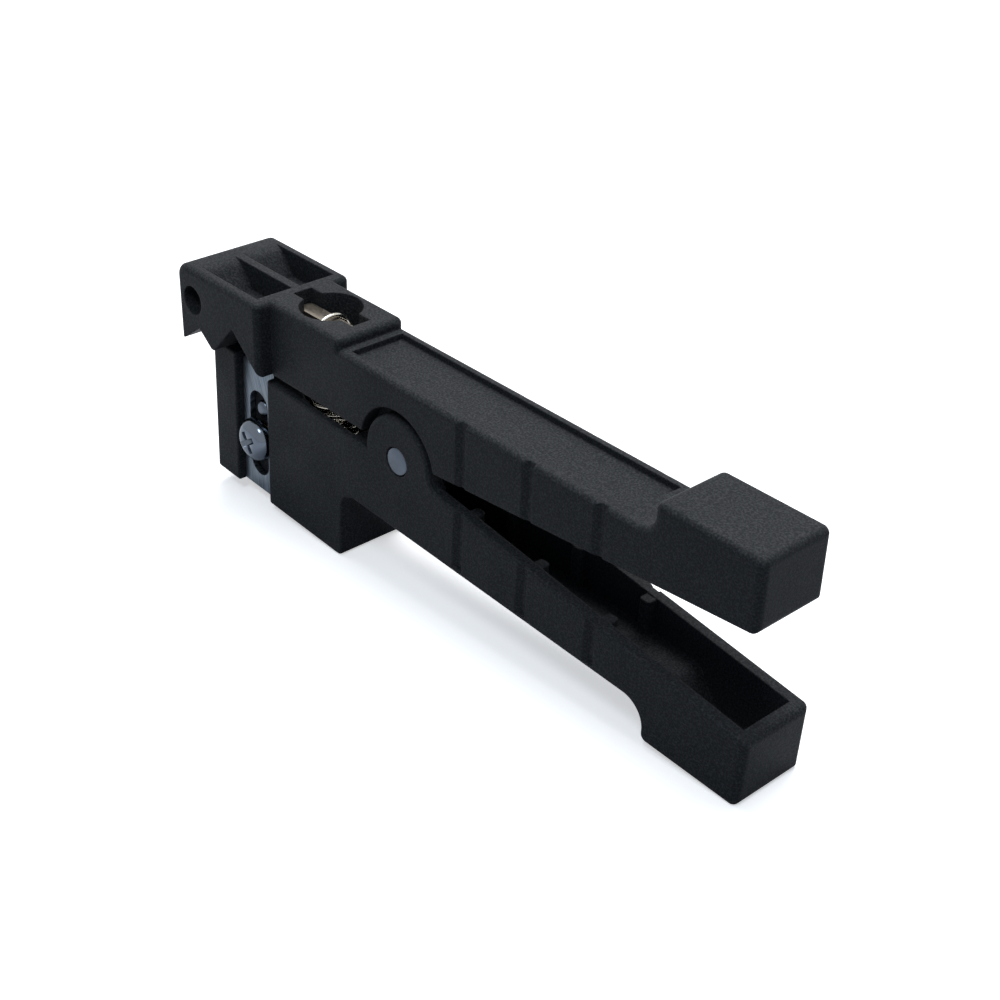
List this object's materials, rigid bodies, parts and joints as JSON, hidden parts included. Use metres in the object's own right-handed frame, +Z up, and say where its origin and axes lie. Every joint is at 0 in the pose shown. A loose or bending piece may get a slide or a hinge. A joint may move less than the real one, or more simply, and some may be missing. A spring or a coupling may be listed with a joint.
{
  "type": "coaxial cable stripper",
  "caption": "Clothes-peg coaxial cable stripper: spring-closed plastic levers on a pin, a notched upper jaw over slotted, screw-clamped blades in the lower jaw.",
  "frame": {"origin": "middle of the tool's box, on the surface that it lies on", "axes": "+X from the jaws to the grips, +Y to the far side, +Z up; the tool lies on the corner of its lower block and on the end of its lower grip"},
  "size_m": [0.1306, 0.0196, 0.043],
  "materials": {
    "black_nylon": "glass-filled nylon, moulded with a fine matt texture",
    "pin_steel": "ground dowel steel",
    "spring_wire": "bright drawn spring wire",
    "bar_steel": "stamped strip steel, dull",
    "blade_steel": "hardened strip steel with lengthwise grinding marks",
    "screw_plate": "bright zinc plating",
    "insert_brass": "turned brass"
  },
  "bodies": {
    "lower_lever": {"lower_lever": "black_nylon", "pivot_pin": "pin_steel", "guide_pin": "pin_steel", "lower_spring_bar": "bar_steel", "near_thread_insert": "insert_brass", "far_thread_insert": "insert_brass", "jaw_spring": "spring_wire"},
    "upper_lever": {"upper_lever": "black_nylon", "upper_spring_bar": "bar_steel"},
    "near_blade": {"near_blade": "blade_steel"},
    "far_blade": {"far_blade": "blade_steel"},
    "near_screw": {"near_clamp_screw": "screw_plate"},
    "far_screw": {"far_clamp_screw": "screw_plate"}
  },
  "joints": [
    {"name": "jaw_hinge", "type": "hinge", "parent": "lower_lever", "child": "upper_lever", "pos_m": [-0.0088, 0, 0.02495], "axis": [0, 1, 0], "range_deg": [0, 12.5], "stiffness_Nm_per_rad": 0.2, "springref_deg": -30.37, "deforming": ["jaw_spring"]},
    {"name": "near_blade_slide", "type": "slide", "parent": "lower_lever", "child": "near_blade", "axis": [0.0849, 0, 0.9964], "range_m": [-0.0018, 0.003]},
    {"name": "far_blade_slide", "type": "slide", "parent": "lower_lever", "child": "far_blade", "axis": [0.0849, 0, 0.9964], "range_m": [-0.0018, 0.003]},
    {"name": "near_screw_turn", "type": "hinge", "parent": "lower_lever", "child": "near_screw", "pos_m": [-0.04973, 0, 0.01278], "axis": [0, -1, 0], "range_deg": [0, 360]},
    {"name": "far_screw_turn", "type": "hinge", "parent": "lower_lever", "child": "far_screw", "pos_m": [-0.04973, 0, 0.01278], "axis": [0, 1, 0], "range_deg": [0, 360]}
  ]
}
